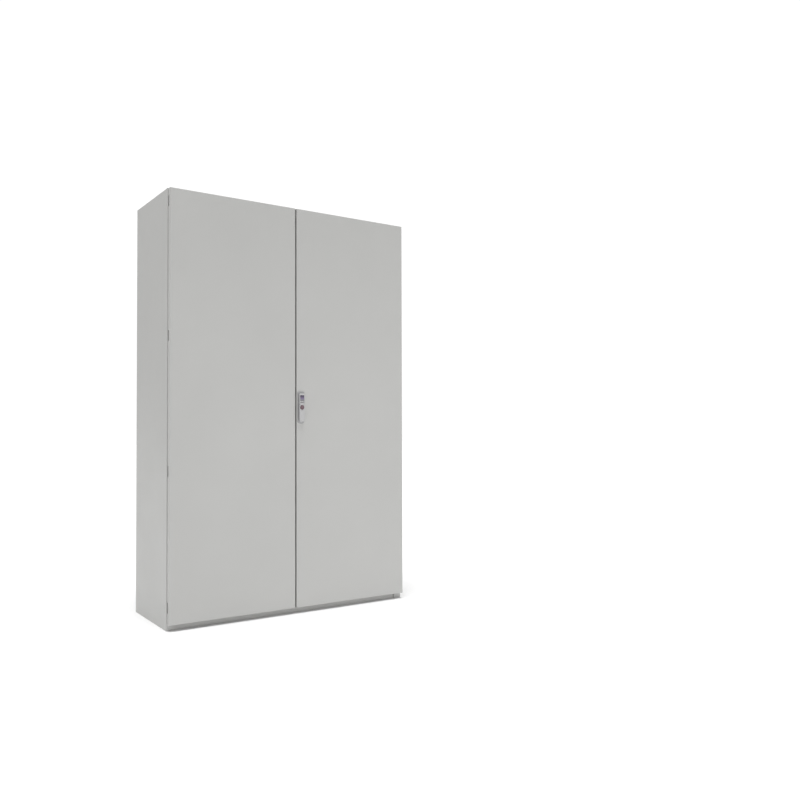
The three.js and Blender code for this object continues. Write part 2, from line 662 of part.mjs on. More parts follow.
left.add(mesh("centre_strip", centreStrip(), LIGHT_GREY), mesh("left_lever", insideLever(), ZINC));
right.add(
  mesh("handle_bezel", bezel(), BASE_GREY),
  mesh("handle_head", handleHead(), HANDLE_GREY),
  mesh("handle_label", labelPocket(GAP, [HANDLE_FRONT + 0.2, HANDLE_FRONT + 1 - GAP]), LABEL_BLUE),
  mesh("handle_grip", handleGrip(), HANDLE_GREY),
  mesh("handle_pin", gripPin(), ZINC),
  mesh("lock_button", lockButton(), LOCK_RED),
);

export default cabinet;
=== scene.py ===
"""Looks of the switchboard cabinet.

Folded, powder-coated sheet, galvanised and plated inner parts, foam seals and the handle set.
Everything is in metres in the row frame: +Z up, +X to the right, the doors face -Y.
"""

import math

import bmesh
import bpy
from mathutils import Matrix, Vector

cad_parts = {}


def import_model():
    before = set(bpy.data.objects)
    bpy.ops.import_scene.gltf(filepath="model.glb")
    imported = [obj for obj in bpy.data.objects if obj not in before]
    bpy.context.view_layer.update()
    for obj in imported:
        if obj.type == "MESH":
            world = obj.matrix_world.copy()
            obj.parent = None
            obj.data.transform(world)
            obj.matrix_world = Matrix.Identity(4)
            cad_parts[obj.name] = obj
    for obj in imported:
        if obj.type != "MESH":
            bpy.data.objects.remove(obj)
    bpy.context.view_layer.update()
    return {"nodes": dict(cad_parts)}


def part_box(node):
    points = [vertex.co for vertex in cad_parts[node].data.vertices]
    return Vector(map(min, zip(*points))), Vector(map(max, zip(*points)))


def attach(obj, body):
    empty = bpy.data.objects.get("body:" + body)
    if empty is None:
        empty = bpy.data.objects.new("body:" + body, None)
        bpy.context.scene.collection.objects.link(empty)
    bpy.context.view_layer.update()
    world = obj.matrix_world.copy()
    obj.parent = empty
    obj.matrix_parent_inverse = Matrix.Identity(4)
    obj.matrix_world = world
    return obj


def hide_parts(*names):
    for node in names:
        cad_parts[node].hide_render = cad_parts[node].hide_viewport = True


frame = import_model()
MM = 0.001

# ------------------------------------------------------------------ places, from the frame

right_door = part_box("right_door_panel")
right_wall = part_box("right_side_wall")
roof_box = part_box("roof")
SIDE = right_wall[1].x
FRONT = right_door[0].y
DOOR_RIM = right_door[1].y
DOOR_Z = (right_door[0].z, right_door[1].z)
DOOR_SIDE = right_door[1].x
BODY_BACK = right_wall[1].y
LIP_FRONT = right_wall[0].y
SHEET = 2 * MM
BEND = 2.6 * MM
JOINT = 0.3 * MM  # air between neighbouring sheets
BODY_FRONT = LIP_FRONT + 13 * MM  # the sealing lip stands out from the body's front
LIP_Z = (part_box("base_frame")[1].z - SHEET / 2, roof_box[0].z + SHEET / 2)  # middles of its sheet
LIP_X = SIDE - 40 * MM
REAR_RETURN = 35 * MM
LIFTING_HOLES_X = SIDE - 45 * MM
LIFTING_HOLES_Y = (-130 * MM, 150 * MM)
GUIDE_HEIGHTS = {"upper": (1.180, 1.660), "lower": (0.260, 0.620)}
PITCH = 25 * MM  # of the punched holes in rails and door frames
ROUND = 24  # points on a screw's, nut's or stud's outline


def middle_of(node):
    low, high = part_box(node)
    return (low + high) / 2


HINGES = [middle_of(f"right_hinge_bracket_{n}").z for n in (1, 2, 3, 4)]


def outwards(side, node):
    """A node's box with x measured outwards from the middle: how the left side is drawn, too."""
    low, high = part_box(node)
    if side == "right":
        return low, high
    return Vector((-high.x, low.y, low.z)), Vector((-low.x, high.y, high.z))


# ------------------------------------------------------------------ materials


class Nodes:
    """A material's node tree, with short ways to add and join nodes."""

    def __init__(self, name):
        self.material = bpy.data.materials.new(name)
        self.material.use_nodes = True
        self.tree = self.material.node_tree
        self.shader = self.tree.nodes["Principled BSDF"]
        self.where = self.add("ShaderNodeTexCoord").outputs["Object"]

    def add(self, kind, **settings):
        node = self.tree.nodes.new(kind)
        for key, value in settings.items():
            setattr(node, key, value)
        return node

    def join(self, source, target):
        self.tree.links.new(source, target)

    def noise(self, scale, detail=3.0, roughness=0.5, stretch=None):
        node = self.add("ShaderNodeTexNoise")
        node.inputs["Scale"].default_value = scale
        node.inputs["Detail"].default_value = detail
        node.inputs["Roughness"].default_value = roughness
        self.join(self.stretched(stretch) if stretch else self.where, node.inputs["Vector"])
        return node.outputs["Fac"]

    def stretched(self, factors):
        node = self.add("ShaderNodeMapping")
        node.inputs["Scale"].default_value = factors
        self.join(self.where, node.inputs["Vector"])
        return node.outputs["Vector"]

    def cells(self, scale):
        node = self.add("ShaderNodeTexVoronoi")
        node.inputs["Scale"].default_value = scale
        self.join(self.where, node.inputs["Vector"])
        return node

    def ramp(self, source, stops):
        node = self.add("ShaderNodeValToRGB")
        ramp = node.color_ramp
        while len(ramp.elements) < len(stops):
            ramp.elements.new(0.5)
        for element, (place, colour) in zip(ramp.elements, stops):
            element.position = place
            element.color = (*colour, 1.0)
        self.join(source, node.inputs["Fac"])
        return node.outputs["Color"]

    def spread(self, source, low, high, start=0.3, end=0.7):
        node = self.add("ShaderNodeMapRange")
        node.inputs["From Min"].default_value = start
        node.inputs["From Max"].default_value = end
        node.inputs["To Min"].default_value = low
        node.inputs["To Max"].default_value = high
        self.join(source, node.inputs["Value"])
        return node.outputs["Result"]

    def bump(self, layers):
        """layers: (height source, height in metres) pairs, stacked."""
        last = None
        for source, distance in layers:
            node = self.add("ShaderNodeBump")
            node.inputs["Distance"].default_value = distance
            self.join(source, node.inputs["Height"])
            if last:
                self.join(last, node.inputs["Normal"])
            last = node.outputs["Normal"]
        self.join(last, self.shader.inputs["Normal"])

    def multiply(self, first, second):
        node = self.add("ShaderNodeMix", data_type="RGBA", blend_type="MULTIPLY")
        node.inputs["Factor"].default_value = 1.0
        self.join(first, node.inputs["A"])
        self.join(second, node.inputs["B"])
        return node.outputs["Result"]

    def colour(self, source):
        self.join(source, self.shader.inputs["Base Color"])

    def rough(self, source):
        self.join(source, self.shader.inputs["Roughness"])


def tint(colour, factor):
    return tuple(min(channel * factor, 1.0) for channel in colour)


def powder_coat(name, colour):
    """Fine orange-peel paint with a faint mottle in its shade and gloss."""
    n = Nodes(name)
    mottle = n.noise(2.4, detail=5.0)
    speck = n.noise(700.0, detail=2.0)
    broad = n.ramp(mottle, [(0.30, tint(colour, 0.982)), (0.70, tint(colour, 1.018))])
    fine = n.ramp(speck, [(0.35, (0.965, 0.965, 0.965)), (0.65, (1.0, 1.0, 1.0))])
    n.colour(n.multiply(broad, fine))
    n.rough(n.spread(n.noise(9.0, detail=4.0), 0.40, 0.50))
    n.bump([(n.noise(420.0, detail=2.0), 0.000035), (n.noise(1500.0, detail=1.0), 0.000012)])
    n.shader.inputs["Specular IOR Level"].default_value = 0.45
    return n.material


def zinc(name, colour):
    """Galvanised steel: pale crystals of slightly different gloss, with faint rolling marks."""
    n = Nodes(name)
    crystals = n.cells(95.0)
    shade = n.ramp(crystals.outputs["Color"], [(0.1, tint(colour, 0.86)), (0.9, tint(colour, 1.10))])
    streaks = n.noise(30.0, detail=6.0, roughness=0.65, stretch=(14.0, 14.0, 0.35))
    marks = n.ramp(streaks, [(0.3, (0.93, 0.93, 0.94)), (0.7, (1.0, 1.0, 1.0))])
    n.colour(n.multiply(shade, marks))
    n.rough(n.spread(crystals.outputs["Distance"], 0.30, 0.46, 0.0, 0.8))
    n.bump([(n.noise(260.0, detail=3.0), 0.00003)])
    n.shader.inputs["Metallic"].default_value = 0.92
    return n.material


def plated(name, colour):
    """Bright zinc-plated small parts, with fine turning and press marks."""
    n = Nodes(name)
    wear = n.noise(160.0, detail=5.0)
    n.colour(n.ramp(wear, [(0.3, tint(colour, 0.85)), (0.7, tint(colour, 1.08))]))
    n.rough(n.spread(n.noise(90.0, detail=4.0), 0.24, 0.38))
    n.bump([(n.noise(1300.0, detail=2.0, stretch=(1.0, 1.0, 0.2)), 0.000015)])
    n.shader.inputs["Metallic"].default_value = 0.95
    return n.material


def foam(name):
    """Black closed-cell foam, matt and finely pored."""
    n = Nodes(name)
    pores = n.cells(1500.0)
    n.colour(n.ramp(n.noise(60.0), [(0.3, (0.018, 0.018, 0.02)), (0.7, (0.035, 0.035, 0.038))]))
    n.rough(n.spread(n.noise(200.0), 0.78, 0.92))
    n.bump([(pores.outputs["Distance"], 0.00012), (n.noise(180.0), 0.0002)])
    return n.material


def cast_paint(name, colour):
    """Satin enamel on a die casting."""
    n = Nodes(name)
    n.colour(n.ramp(n.noise(130.0, detail=4.0), [(0.3, tint(colour, 0.97)), (0.7, tint(colour, 1.03))]))
    n.rough(n.spread(n.noise(260.0), 0.30, 0.42))
    n.bump([(n.noise(900.0, detail=2.0), 0.00002)])
    n.shader.inputs["Coat Weight"].default_value = 0.15
    return n.material


def moulding(name, colour):
    """Matt glass-filled plastic with a fine spark-eroded grain."""
    n = Nodes(name)
    n.colour(n.ramp(n.noise(240.0, detail=4.0), [(0.3, tint(colour, 0.93)), (0.7, tint(colour, 1.07))]))
    n.rough(n.spread(n.noise(400.0), 0.48, 0.60))
    n.bump([(n.noise(2200.0, detail=2.0), 0.00002)])
    return n.material


def label_plate(name, low, high):
    """Plain bands from top to bottom: dark violet, violet, then grey."""
    n = Nodes(name)
    split = n.add("ShaderNodeSeparateXYZ")
    n.join(n.where, split.inputs["Vector"])
    height = n.spread(split.outputs["Z"], 0.0, 1.0, low, high)
    bands = n.ramp(
        height,
        [
            (0.00, (0.17, 0.17, 0.18)),
            (0.26, (0.21, 0.205, 0.225)),
            (0.30, (0.19, 0.155, 0.255)),
            (0.60, (0.155, 0.12, 0.215)),
            (0.64, (0.075, 0.055, 0.105)),
            (1.00, (0.065, 0.05, 0.095)),
        ],
    )
    grain = n.ramp(n.noise(1200.0), [(0.3, (0.92, 0.92, 0.92)), (0.7, (1.0, 1.0, 1.0))])
    n.colour(n.multiply(bands, grain))
    n.rough(n.spread(n.noise(300.0), 0.28, 0.36))
    n.bump([(n.noise(800.0), 0.00001)])
    return n.material


def red_plastic(name):
    """Dull dark red, satin."""
    n = Nodes(name)
    n.colour(n.ramp(n.noise(300.0), [(0.3, (0.130, 0.075, 0.090)), (0.7, (0.160, 0.092, 0.110))]))
    n.rough(n.spread(n.noise(500.0), 0.25, 0.36))
    n.bump([(n.noise(1400.0), 0.000012)])
    return n.material


def pale_floor(name):
    n = Nodes(name)
    n.colour(n.ramp(n.noise(1.3), [(0.3, (0.93, 0.93, 0.93)), (0.7, (0.95, 0.95, 0.95))]))
    n.rough(n.spread(n.noise(5.0), 0.85, 0.95))
    n.shader.inputs["Specular IOR Level"].default_value = 0.1
    return n.material


GREY = powder_coat("grey_powder_coat", (0.500, 0.500, 0.488))
SPANGLE = zinc("galvanised_sheet", (0.60, 0.62, 0.635))
PLATED = plated("plated_steel", (0.63, 0.635, 0.62))
FOAM = foam("foam_seal")
HANDLE_PAINT = cast_paint("handle_enamel", (0.450, 0.448, 0.452))
# The handle base's grey is darker than the handle's enamel: partly the moulding's own tone, partly painted
# shade for the shadowed gap round the handle.
BASE_GREY_AND_PAINTED_SHADE = moulding("handle_base_grey_and_painted_shade", (0.39, 0.39, 0.395))
LABEL = label_plate("label_bands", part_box("handle_label")[0].z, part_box("handle_label")[1].z)
RED = red_plastic("red_plastic")
FLOOR = pale_floor("pale_floor")


# ------------------------------------------------------------------ mesh tools


def soften(obj, width, segments=2, angle=35.0):
    """Round the cut edges a little and keep flat faces flat in shading."""
    bevel = obj.modifiers.new("edges", "BEVEL")
    bevel.width = width
    bevel.segments = segments
    bevel.limit_method = "ANGLE"
    bevel.angle_limit = math.radians(angle)
    bevel.miter_outer = "MITER_ARC"
    normals = obj.modifiers.new("normals", "WEIGHTED_NORMAL")
    normals.keep_sharp = True


def piece(name, bm, material, body, replaces=()):
    """Turn a bmesh into an object of the cabinet that rides on a body."""
    mesh = bpy.data.meshes.new(name)
    bm.to_mesh(mesh)
    bm.free()
    for polygon in mesh.polygons:
        polygon.use_smooth = True
    mesh.materials.append(material)
    obj = bpy.data.objects.new(name, mesh)
    bpy.context.scene.collection.objects.link(obj)
    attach(obj, body)
    if replaces:
        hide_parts(*replaces)
    return obj


class Sheet:
    """The outer surface of a folded sheet, drawn right-handed; u x v points out of the metal."""

    def __init__(self):
        self.bm = bmesh.new()

    def face(self, points):
        self.bm.faces.new([self.bm.verts.new(point) for point in points])

    def grid(self, corner, u, v, cuts_u, cuts_v, keep=lambda s, t: True):
        corner, u, v = Vector(corner), Vector(u), Vector(v)
        for s0, s1 in zip(cuts_u, cuts_u[1:]):
            for t0, t1 in zip(cuts_v, cuts_v[1:]):
                if keep((s0 + s1) / 2, (t0 + t1) / 2):
                    ends = ((s0, t0), (s1, t0), (s1, t1), (s0, t1))
                    self.face([corner + u * s + v * t for s, t in ends])

    def punched(self, corner, u, v, width, cuts, hole, slot=0.0):
        """A strip along v, a cell between each pair of cuts, with a hole or a slot (along v) in each."""
        corner, u, v = Vector(corner), Vector(u), Vector(v)
        quarter = 3
        for t0, t1 in zip(cuts, cuts[1:]):
            middle = corner + u * (width / 2) + v * ((t0 + t1) / 2)
            ring = []
            for k in range(4 * quarter):
                angle = math.pi / 4 + k * math.pi / (2 * quarter)
                side = math.copysign(slot / 2, math.sin(angle)) if slot else 0.0
                ring.append(middle + u * (hole * math.cos(angle)) + v * (hole * math.sin(angle) + side))
            corners = [
                corner + u * width + v * t1,
                corner + v * t1,
                corner + v * t0,
                corner + u * width + v * t0,
            ]
            for k in range(4):
                arc = [ring[(k * quarter + j) % len(ring)] for j in range(quarter + 1)]
                self.face([corners[k], corners[(k + 1) % 4]] + arc[::-1])

    def make(self, name, material, body, replaces, mirrored=False, thickness=SHEET, bend=BEND):
        bm = self.bm
        bmesh.ops.remove_doubles(bm, verts=bm.verts, dist=1e-5)
        folds = [
            edge
            for edge in bm.edges
            if len(edge.link_faces) == 2 and edge.calc_face_angle() > math.radians(40)
        ]
        if folds:
            bmesh.ops.bevel(bm, geom=folds, offset=bend, segments=4, profile=0.5, affect="EDGES")
        if mirrored:
            bmesh.ops.scale(bm, vec=(-1, 1, 1), verts=bm.verts)
            bmesh.ops.reverse_faces(bm, faces=bm.faces)
        obj = piece(name, bm, material, body, replaces)
        solid = obj.modifiers.new("thickness", "SOLIDIFY")
        solid.thickness = thickness
        solid.offset = -1
        solid.use_even_offset = True
        soften(obj, 0.35 * MM)
        return obj


def steps(start, end, pitch):
    """Cuts of about one pitch that fill a length."""
    count = max(1, round((end - start) / pitch))
    return [start + (end - start) * k / count for k in range(count + 1)]


def rounded_outline(x, z, top, bottom, fill=(0, 0), arc=5):
    """Counter-clockwise (x, z) points of a rectangle with round corners.

    fill is how many extra points each (short, long) side has between its corners.
    """
    corners = (
        (x[1] - top, z[1] - top, top, 0.0),
        (x[0] + top, z[1] - top, top, 0.5),
        (x[0] + bottom, z[0] + bottom, bottom, 1.0),
        (x[1] - bottom, z[0] + bottom, bottom, 1.5),
    )

    def at(corner, turn):
        cx, cz, radius, start = corner
        angle = math.pi * (start + 0.5 * turn)
        return Vector((cx + radius * math.cos(angle), cz + radius * math.sin(angle)))

    points = []
    for index, corner in enumerate(corners):
        points += [at(corner, k / arc) for k in range(arc + 1)]
        end = at(corners[(index + 1) % 4], 0.0)
        count = fill[index % 2]
        start = points[-1]
        points += [start.lerp(end, k / (count + 1)) for k in range(1, count + 1)]
    return points


def standing(points, y):
    """An outline in (x, z) as a ring at depth y."""
    return [Vector((x, y, z)) for x, z in points]


def ring_about(at, out, radius, level, corners=0, turn=0.0):
    """A ring about an axis, a distance out along it: a circle, or the polygon that goes round that circle."""
    side = out.orthogonal().normalized()
    other = out.cross(side)
    points = []
    for k in range(ROUND):
        angle = 2 * math.pi * k / ROUND
        reach = radius
        if corners:
            part = 2 * math.pi / corners
            reach = radius / math.cos((angle + turn) % part - part / 2)
        points.append(at + out * level + (side * math.cos(angle) + other * math.sin(angle)) * reach)
    return points


def circle_towards(points, centre, radius):
    """The point of a circle that lies towards each point of an outline around it."""
    return [centre + (point - centre).normalized() * radius for point in points]


def skin(bm, rings, closed=False):
    """Faces through rings of equally many points, with flat ends unless the rings close on themselves."""
    rows = [[bm.verts.new(point) for point in ring] for ring in rings]
    pairs = list(zip(rows, rows[1:])) + ([(rows[-1], rows[0])] if closed else [])
    for a, b in pairs:
        for k in range(len(a)):
            bm.faces.new((a[k], a[(k + 1) % len(a)], b[(k + 1) % len(a)], b[k]))
    if not closed:
        bm.faces.new(rows[0][::-1])
        bm.faces.new(rows[-1])


def shells(name, material, body, ring_lists, replaces=(), *, edge, closed=False):
    """One object of closed skins."""
    bm = bmesh.new()
    for rings in ring_lists:
        skin(bm, rings, closed)
    bmesh.ops.recalc_face_normals(bm, faces=bm.faces)
    soften(piece(name, bm, material, body, replaces), edge)


# ------------------------------------------------------------------ fasteners


def screw_into(bm, at, out, radius, height, washer=0.0):
    """A button-head screw with a hexagon socket, on a washer, standing out of a face."""
    at, out = Vector(at), Vector(out)
    hexagon = 0.52 * radius
    sunk = 0.3 * MM

    def ring(size, level, corners=0):
        return ring_about(at, out, size, level, corners, math.pi / 6)

    base = 1.2 * MM if washer else 0.0
    rings = [ring(washer or radius, -sunk)]
    if washer:
        rings += [ring(washer, base - 0.25 * MM), ring(washer - 0.3 * MM, base)]
    rings += [
        ring(radius, base),
        ring(radius, base + 0.35 * height),
        ring(0.90 * radius, base + 0.72 * height),
        ring(0.72 * radius, base + 0.94 * height),
        ring(0.60 * radius, base + height),
        ring(hexagon, base + 0.98 * height, 6),
        ring(0.94 * hexagon, base + 0.30 * height, 6),
    ]
    skin(bm, rings)


def screws(name, places, out, body, **sizes):
    """A row of equal screws as one object."""
    bm = bmesh.new()
    for at in places:
        screw_into(bm, at, out, **sizes)
    bmesh.ops.recalc_face_normals(bm, faces=bm.faces)
    soften(piece(name, bm, PLATED, body), 0.1 * MM, segments=1, angle=50)


# ------------------------------------------------------------------ body


def side_wall(side):
    """A tray: rear return, side, front return and the sealing lip, which ends short of roof and base."""
    sheet = Sheet()
    top = right_wall[1].z
    short = SHEET / 2 + JOINT
    cuts = [0.0, LIP_Z[0] + short, LIP_Z[1] - short, top]
    plan = [
        (SIDE - REAR_RETURN, BODY_BACK),
        (SIDE, BODY_BACK),
        (SIDE, BODY_FRONT),
        (LIP_X, BODY_FRONT),
        (LIP_X, LIP_FRONT),
    ]
    for (xa, ya), (xb, yb) in zip(plan, plan[1:]):
        run = Vector((xb - xa, yb - ya, 0))
        is_lip = xa == xb == LIP_X
        sheet.grid((xa, ya, 0), (0, 0, 1), run, cuts[1:3] if is_lip else cuts, [0.0, 1.0])
    sheet.make(f"{side}_wall_sheet", GREY, "body", [f"{side}_side_wall"], mirrored=side == "left")


def roof():
    """A flat sheet with a front that turns in and out again as the sealing lip, and a rear return."""
    sheet = Sheet()
    top = roof_box[1].z
    lip_end = LIP_X - SHEET - JOINT
    rear_end = SIDE - REAR_RETURN - JOINT
    cuts_x = [-SIDE, -rear_end, -lip_end, lip_end, rear_end, SIDE]
    depth = BODY_BACK - BODY_FRONT

    def within(limit):
        return lambda s, t: abs(s) < limit

    sheet.grid((0, BODY_FRONT, top), (1, 0, 0), (0, 1, 0), cuts_x, [0.0, depth])
    drop = top - LIP_Z[1] - SHEET / 2
    lip = [0.0, BODY_FRONT - LIP_FRONT]
    sheet.grid((0, BODY_FRONT, top - drop), (1, 0, 0), (0, 0, 1), cuts_x, [0.0, drop], within(lip_end))
    sheet.grid((0, LIP_FRONT, top - drop), (1, 0, 0), (0, 1, 0), cuts_x, lip, within(lip_end))
    sheet.grid((0, BODY_BACK, top), (1, 0, 0), (0, 0, -1), cuts_x, [0.0, REAR_RETURN], within(rear_end))
    sheet.make("roof_sheet", GREY, "body", ["roof"])
    holes = [(x, y, top) for x in (-LIFTING_HOLES_X, LIFTING_HOLES_X) for y in LIFTING_HOLES_Y]
    screws("roof_plugs", holes, (0, 0, 1), "body", radius=9 * MM, height=4 * MM, washer=13 * MM)


def punched_rail(side, place):
    """Z-section with a row of holes in each of its three faces."""
    low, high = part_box(f"right_{place}_rail")
    sheet = Sheet()
    wall = high.x
    inner = low.x
    middle = (low.y + high.y) / 2
    cuts = steps(low.z, high.z, PITCH)
    slot_radius, slot_length, hole_radius = 3.4 * MM, 5 * MM, 2.4 * MM
    up = (0, 0, 1)
    sheet.punched((wall, low.y, 0), (0, 1, 0), up, middle - low.y, cuts, slot_radius, slot_length)
    sheet.punched((wall, middle, 0), (-1, 0, 0), up, wall - inner, cuts, hole_radius)
    sheet.punched((inner, middle, 0), (0, 1, 0), up, high.y - middle, cuts, slot_radius, slot_length)
    name = f"{side}_{place}_rail"
    sheet.make(f"{name}_sheet", SPANGLE, "body", [name], mirrored=side == "left", bend=2.2 * MM)


def gland_plate_screws():
    """Two rows of screws along each gland plate."""
    inset, row = 12 * MM, 46 * MM
    for place in ("front", "middle", "rear"):
        low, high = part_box(f"gland_plate_{place}")
        y = (low.y + high.y) / 2
        along = steps(low.x + inset, high.x - inset, 0.27)
        spots = [(x, y + dy, high.z) for x in along for dy in (-row, row)]
        small = {"radius": 4.2 * MM, "height": 2.6 * MM, "washer": 6.5 * MM}
        screws(f"gland_plate_{place}_screws", spots, (0, 0, 1), "body", **small)


def plate_bolts():
    low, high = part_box("mounting_plate")
    inset = 22 * MM
    heights = steps(low.z + inset, high.z - inset, 0.8)
    spots = [(x, low.y, z) for x in (low.x + inset, high.x - inset) for z in heights]
    large = {"radius": 6.5 * MM, "height": 5 * MM, "washer": 11 * MM}
    screws("mounting_plate_bolts", spots, (0, -1, 0), "body", **large)


def rear_screws():
    low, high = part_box("rear_panel")
    inset = 8 * MM
    xs = (low.x + inset, high.x - inset)
    across = steps(xs[0], xs[1], 0.29)
    up = steps(low.z + inset, high.z - inset, 0.25)
    spots = [(x, high.y, z) for x in across for z in (up[0], up[-1])]
    spots += [(x, high.y, z) for x in xs for z in up[1:-1]]
    small = {"radius": 4.6 * MM, "height": 2.6 * MM, "washer": 7 * MM}
    screws("rear_panel_screws", spots, (0, 1, 0), "body", **small)


# ------------------------------------------------------------------ doors


def door_panel(side):
    """A tray open to the back; its rims are notched for the hinges and for the body's lip."""
    sheet = Sheet()
    x = outwards(side, f"{side}_door_panel")[0].x
    width = DOOR_SIDE - x
    depth = DOOR_RIM - FRONT
    notch_half = 22 * MM
    lip_half = 6 * MM
    hinge_deep = 11.5 * MM
    lip_deep = 7 * MM
    hinge_spans = [(z - notch_half, z + notch_half) for z in HINGES]
    lip_spans = [(z - lip_half, z + lip_half) for z in LIP_Z]
    low, high = DOOR_Z
    cuts_z = sorted({low, high, *(end for span in hinge_spans + lip_spans for end in span)})
    cuts_z = [z for z in cuts_z if low <= z <= high]

    def outside(spans):
        return lambda z: not any(a < z < b for a, b in spans)

    clear_of_hinge, clear_of_lip = outside(hinge_spans), outside(lip_spans)
    sheet.grid((x, FRONT, 0), (1, 0, 0), (0, 0, 1), [0.0, width], cuts_z)
    sheet.grid(
        (DOOR_SIDE, FRONT, 0),
        (0, 1, 0),
        (0, 0, 1),
        [0.0, hinge_deep, depth],
        cuts_z,
        lambda s, t: s < hinge_deep or clear_of_hinge(t),
    )
    sheet.grid(
        (x, DOOR_RIM, 0),
        (0, -1, 0),
        (0, 0, 1),
        [0.0, depth - lip_deep, depth],
        cuts_z,
        lambda s, t: s > depth - lip_deep or clear_of_lip(t),
    )
    cuts_deep = [0.0, lip_deep, hinge_deep, depth]
    sheet.grid((x, FRONT, high), (1, 0, 0), (0, 1, 0), [0.0, width], cuts_deep)
    cuts_back = [depth - d for d in cuts_deep[::-1]]
    sheet.grid((x, DOOR_RIM, low), (1, 0, 0), (0, -1, 0), [0.0, width], cuts_back)
    sheet.make(f"{side}_door_sheet", GREY, f"{side}_door", [f"{side}_door_panel"], mirrored=side == "left")


def door_frame(side):
    """A ring of channel, open towards the door's sheet and punched all round, with clips for the rods."""
    width = PITCH
    hole = 3.3 * MM
    node = f"{side}_door_frame"
    low, high = outwards(side, node)
    lock_x = abs(middle_of(f"{side}_pinion").x)
    x = (lock_x + 24 * MM, high.x)
    z = (low.z, high.z)
    y = (low.y, DOOR_RIM)
    cuts_x = [x[0], *steps(x[0] + width, x[1] - width, width), x[1]]
    cuts_z = [z[0], *steps(z[0] + width, z[1] - width, width), z[1]]
    deep = [0.0, y[1] - y[0]]
    up, right, back, left = (0, 0, 1), (1, 0, 0), (0, 1, 0), (-1, 0, 0)
    sheet = Sheet()
    for end in (x[0] + width, x[1]):
        sheet.punched((end, y[1], 0), left, up, width, cuts_z[1:-1], hole)
    for end in (z[0], z[1] - width):
        sheet.punched((0, y[1], end), up, right, width, cuts_x[1:-1], hole)
        for start in (x[0], x[1] - width):
            sheet.grid((start, y[1], end), up, right, [0.0, width], [0.0, width])
    sheet.grid((x[0], y[0], 0), up, back, cuts_z, deep)
    sheet.grid((x[1], y[0], 0), back, up, deep, cuts_z)
    sheet.grid((0, y[0], z[0]), back, right, deep, cuts_x)
    sheet.grid((0, y[0], z[1]), right, back, cuts_x, deep)
    sheet.grid((x[0] + width, y[0], 0), back, up, deep, cuts_z[1:-1])
    sheet.grid((x[1] - width, y[0], 0), up, back, cuts_z[1:-1], deep)
    sheet.grid((0, y[0], z[0] + width), right, back, cuts_x[1:-1], deep)
    sheet.grid((0, y[0], z[1] - width), back, right, deep, cuts_x[1:-1])
    body = f"{side}_door"
    sheet.make(f"{side}_frame_channel", SPANGLE, body, [node], mirrored=side == "left", bend=1.5 * MM)
    rod_clips(side, x[0])


def rod_clips(side, frame_x):
    """Bent strips on the frame that the lock rods run in."""
    sign = -1 if side == "left" else 1
    strip, half = 2 * MM, 8 * MM
    ring_lists = []
    for rod, heights in GUIDE_HEIGHTS.items():
        low, high = outwards(side, f"{side}_{rod}_rod")
        rod_x = middle_of_rod(side, rod)
        y1, y2 = low.y - 0.5 * MM, high.y + 0.5 * MM
        y0, y3 = y1 - strip, y2 + strip
        mouth, web = rod_x - 2.6 * MM, rod_x + 2.7 * MM
        outline = [
            (mouth, y3),
            (mouth, y2),
            (web, y2),
            (web, y1),
            (mouth, y1),
            (mouth, y0),
            (web + strip, y0),
            (web + strip, y2),
            (frame_x + 0.5 * MM, y2),
            (frame_x + 0.5 * MM, y3),
        ]
        for height in heights:
            levels = (height - half, height + half)
            ring_lists.append([[Vector((sign * px, py, pz)) for px, py in outline] for pz in levels])
    shells(f"{side}_rod_clips", PLATED, f"{side}_door", ring_lists, edge=0.4 * MM)


def middle_of_rod(side, rod):
    """How far from the cabinet's middle a rod's bar is, without its teeth."""
    low, high = outwards(side, f"{side}_{rod}_rod")
    return low.x + 2 * MM if rod == "upper" else high.x - 2 * MM


def door_gasket(side):
    """Foamed bead with a crown, pressed in along the middle by the body's lip."""
    low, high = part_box(f"{side}_door_gasket")
    half, radius = 4 * MM, 9 * MM
    squareness = 3.2
    tall = high.y - low.y
    x, z = (low.x + half, high.x - half), (low.z + half, high.z - half)
    path = rounded_outline(x, z, radius, radius, (10, 30), arc=6)
    section = []
    for k in range(15):
        across = -math.cos(math.pi * k / 14)
        dent = 0.12 * math.exp(-((across / 0.22) ** 2))
        crown = (1 - abs(across) ** squareness) ** (1 / squareness) - dent
        section.append((across * half, low.y + tall * (0.04 + 0.93 * crown)))
    section += [(0.9 * half, low.y), (-0.9 * half, low.y)]
    rings = []
    for before, point, after in zip([path[-1], *path], path, path[1:] + path[:1]):
        along = (after - before).normalized()
        out = Vector((along.y, -along.x))
        rings.append([Vector((point.x + out.x * n, y, point.y + out.y * n)) for n, y in section])
    name = f"{side}_door_gasket"
    shells(f"{name}_bead", FOAM, f"{side}_door", [rings], [name], edge=0.1 * MM, closed=True)


